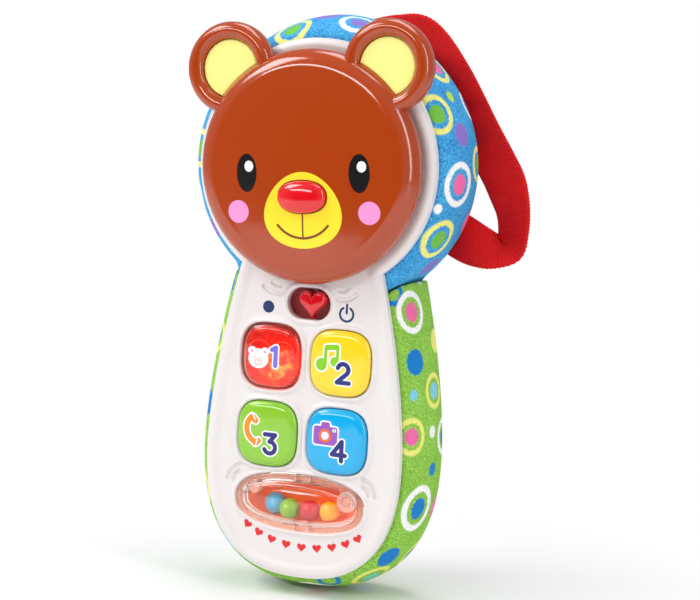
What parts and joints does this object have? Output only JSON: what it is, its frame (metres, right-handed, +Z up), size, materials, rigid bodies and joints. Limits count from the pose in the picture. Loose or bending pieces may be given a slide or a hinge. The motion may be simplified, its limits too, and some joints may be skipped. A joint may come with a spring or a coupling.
{
  "type": "toy phone",
  "caption": "Bear-faced baby phone with a slide-up peek-a-boo cover over a mirror, push keys, bead rattle, plush padded back and a webbing strap loop.",
  "frame": {"origin": "on the flat back plate, on the phone's centre line, midway between speaker grille and battery door", "axes": "+X to the right seen from the front, +Y out of the back, +Z up along the phone towards the ears"},
  "size_m": [0.1129, 0.0501, 0.1916],
  "materials": {
    "shell_white": "semi-gloss injection-moulded ABS",
    "back_white": "fine satin texture",
    "face_brown": "high gloss",
    "ear_cream": "satin print",
    "nose_red": "high gloss",
    "heart_red": "gloss",
    "key_red_clear": "translucent gloss",
    "key_yellow": "gloss",
    "key_green": "gloss",
    "key_blue": "gloss",
    "reflector_orange": "gloss",
    "window_clear": "clear polycarbonate, polished",
    "tray_orange": "gloss",
    "bead_blue": "gloss",
    "bead_green": "gloss",
    "bead_red": "gloss",
    "bead_yellow": "gloss",
    "mirror_film": "mirror-coated acrylic",
    "fabric_blue": "printed short-pile plush over padding",
    "fabric_green": "printed short-pile plush over padding",
    "foam": "polyester wadding",
    "webbing_red": "cross-ribbed grosgrain webbing",
    "steel": "zinc-plated steel",
    "spring_steel": "nickel-plated",
    "battery_case": "plain wrapped cell",
    "black_plastic": "matte",
    "board_green": "solder mask",
    "rubber_grey": "silicone rubber",
    "led_clear": "clear resin"
  },
  "bodies": {
    "root": {"front_shell": "shell_white", "rear_shell": "back_white", "back_plate": "back_white", "mirror_backing": "back_white", "rattle_window": "window_clear", "rattle_tray": "tray_orange", "mirror": "mirror_film", "head_cover": "fabric_blue", "body_cover": "fabric_green", "foam_pad": "foam", "strap_loop": "webbing_red", "shell_screw_1": "steel", "plate_screw_1": "steel", "shell_screw_2": "steel", "plate_screw_2": "steel", "shell_screw_3": "steel", "plate_screw_3": "steel", "shell_screw_4": "steel", "plate_screw_4": "steel", "slide_switch": "steel", "battery_spring_left": "spring_steel", "battery_spring_right": "spring_steel", "battery_contact_left": "spring_steel", "battery_contact_right": "spring_steel", "battery_left": "battery_case", "battery_right": "battery_case", "speaker": "black_plastic", "circuit_board": "board_green", "keypad": "rubber_grey", "led": "led_clear"},
    "face_cover": {"bear_face": "face_brown", "ear_insert_left": "ear_cream", "ear_insert_right": "ear_cream", "nose": "nose_red", "cover_shoe_left": "black_plastic", "cover_shoe_right": "black_plastic", "cover_screw_left": "steel", "cover_screw_right": "steel"},
    "heart_switch": {"heart_slider": "heart_red", "switch_lever": "black_plastic"},
    "key_1": {"button_1": "key_red_clear", "light_reflector": "reflector_orange"},
    "key_2": {"button_2": "key_yellow"},
    "key_3": {"button_3": "key_green"},
    "key_4": {"button_4": "key_blue"},
    "door": {"battery_door": "back_white", "door_screw": "steel"},
    "bead_blue": {"bead_1": "bead_blue"},
    "bead_green": {"bead_2": "bead_green"},
    "bead_red": {"bead_3": "bead_red"},
    "bead_yellow": {"bead_4": "bead_yellow"}
  },
  "joints": [
    {"name": "cover_slide", "type": "slide", "parent": "root", "child": "face_cover", "axis": [0, 0, 1], "range_m": [0, 0.04]},
    {"name": "heart_slide", "type": "slide", "parent": "root", "child": "heart_switch", "axis": [-1, 0, 0], "range_m": [0, 0.0036]},
    {"name": "key_1_press", "type": "slide", "parent": "root", "child": "key_1", "axis": [0, 1, 0], "range_m": [0, 0.0012], "stiffness_N_per_m": 600},
    {"name": "key_2_press", "type": "slide", "parent": "root", "child": "key_2", "axis": [0, 1, 0], "range_m": [0, 0.0012], "stiffness_N_per_m": 600},
    {"name": "key_3_press", "type": "slide", "parent": "root", "child": "key_3", "axis": [0, 1, 0], "range_m": [0, 0.0012], "stiffness_N_per_m": 600},
    {"name": "key_4_press", "type": "slide", "parent": "root", "child": "key_4", "axis": [0, 1, 0], "range_m": [0, 0.0012], "stiffness_N_per_m": 600},
    {"name": "door_lift", "type": "slide", "parent": "root", "child": "door", "axis": [0, 1, 0], "range_m": [0, 0.025]},
    {"name": "bead_row_roll", "type": "slide", "parent": "root", "child": "bead_blue", "axis": [1, 0, 0], "range_m": [-0.002, 0.0035]},
    {"name": "bead_green_roll", "type": "slide", "parent": "root", "child": "bead_green", "axis": [1, 0, 0], "range_m": [-0.002, 0.0035]},
    {"name": "bead_red_roll", "type": "slide", "parent": "root", "child": "bead_red", "axis": [1, 0, 0], "range_m": [-0.002, 0.0035]},
    {"name": "bead_yellow_roll", "type": "slide", "parent": "root", "child": "bead_yellow", "axis": [1, 0, 0], "range_m": [-0.002, 0.0035]}
  ],
  "couplings": [
    {"joint": "bead_green_roll", "follows": "bead_row_roll", "ratio": 1},
    {"joint": "bead_red_roll", "follows": "bead_row_roll", "ratio": 1},
    {"joint": "bead_yellow_roll", "follows": "bead_row_roll", "ratio": 1}
  ]
}
